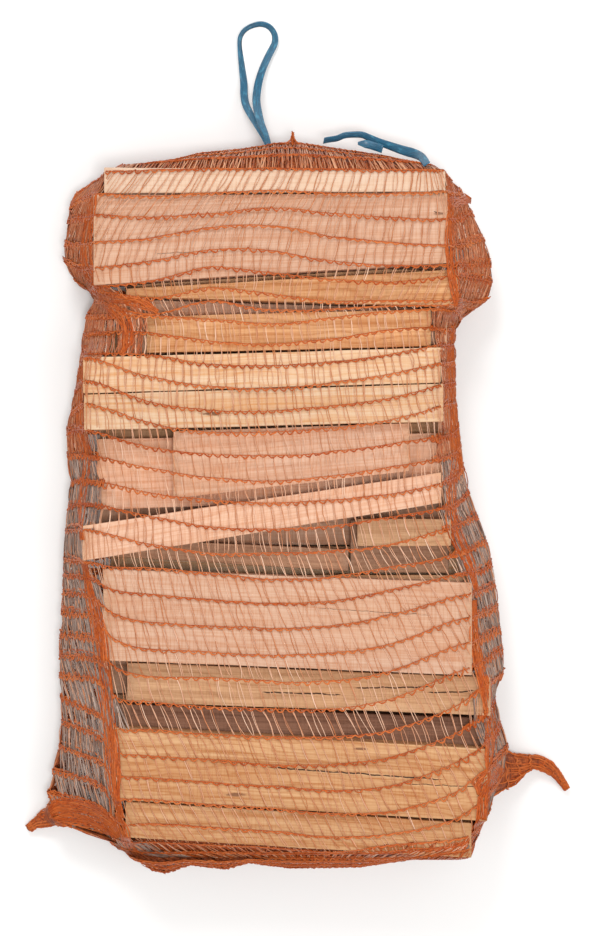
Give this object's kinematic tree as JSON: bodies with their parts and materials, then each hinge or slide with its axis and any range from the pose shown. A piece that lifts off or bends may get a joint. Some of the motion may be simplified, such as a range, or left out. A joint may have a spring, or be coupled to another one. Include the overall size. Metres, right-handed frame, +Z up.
{
  "type": "firewood bundle",
  "caption": "Sawn rectangular firewood sticks stacked across an orange knitted net bag that lies on its back, with blue draw tape at the gathered mouth.",
  "frame": {"origin": "Middle of the footprint of the bag and its ears, without the draw tape, on the surface that it lies on.", "axes": "+Z up from the surface, out of the front of the bag. +Y from the foot of the bag to its mouth. +X to the right as the front is seen from above with the mouth at the top."},
  "size_m": [0.3998, 0.6214, 0.104],
  "materials": {
    "pink_wood": "rough sawn",
    "yellow_wood": "rough sawn",
    "tan_wood": "rough sawn",
    "grey_wood": "rough sawn",
    "brown_wood": "rough sawn",
    "orange_net": "knitted polyethylene threads, slightly glossy",
    "blue_tape": "satin woven tape"
  },
  "bodies": {
    "root": {"draw_tape_left_loop": "blue_tape", "draw_tape_right_loop": "blue_tape", "draw_tape_right_tail": "blue_tape", "net_back": "orange_net", "net_ear_left": "orange_net", "net_ear_right": "orange_net", "net_foot": "orange_net", "net_front": "orange_net", "net_left_lower": "orange_net", "net_left_upper": "orange_net", "net_mouth": "orange_net", "net_right_lower": "orange_net", "net_right_upper": "orange_net", "stick_back_01": "tan_wood", "stick_back_02": "pink_wood", "stick_back_03": "yellow_wood", "stick_back_04": "yellow_wood", "stick_back_05": "pink_wood", "stick_back_06": "tan_wood", "stick_back_07": "yellow_wood", "stick_back_08": "pink_wood", "stick_back_09": "yellow_wood", "stick_front_01": "pink_wood", "stick_front_02": "pink_wood", "stick_front_03": "yellow_wood", "stick_front_04": "yellow_wood", "stick_front_05": "yellow_wood", "stick_front_06": "yellow_wood", "stick_front_07": "pink_wood", "stick_front_08": "pink_wood", "stick_front_09": "pink_wood", "stick_front_10": "tan_wood", "stick_front_11": "yellow_wood", "stick_front_12": "yellow_wood", "stick_lower_01": "yellow_wood", "stick_lower_02": "tan_wood", "stick_lower_03": "pink_wood", "stick_lower_04": "yellow_wood", "stick_lower_05": "pink_wood", "stick_lower_06": "tan_wood", "stick_lower_07": "yellow_wood", "stick_lower_08": "pink_wood", "stick_lower_09": "pink_wood", "stick_middle_01": "tan_wood", "stick_middle_02": "tan_wood", "stick_middle_03": "pink_wood", "stick_middle_04": "pink_wood", "stick_middle_05": "grey_wood", "stick_middle_06": "grey_wood", "stick_middle_07": "tan_wood", "stick_middle_08": "tan_wood", "stick_middle_09": "yellow_wood", "stick_middle_10": "brown_wood", "stick_middle_11": "tan_wood"}
  },
  "joints": []
}
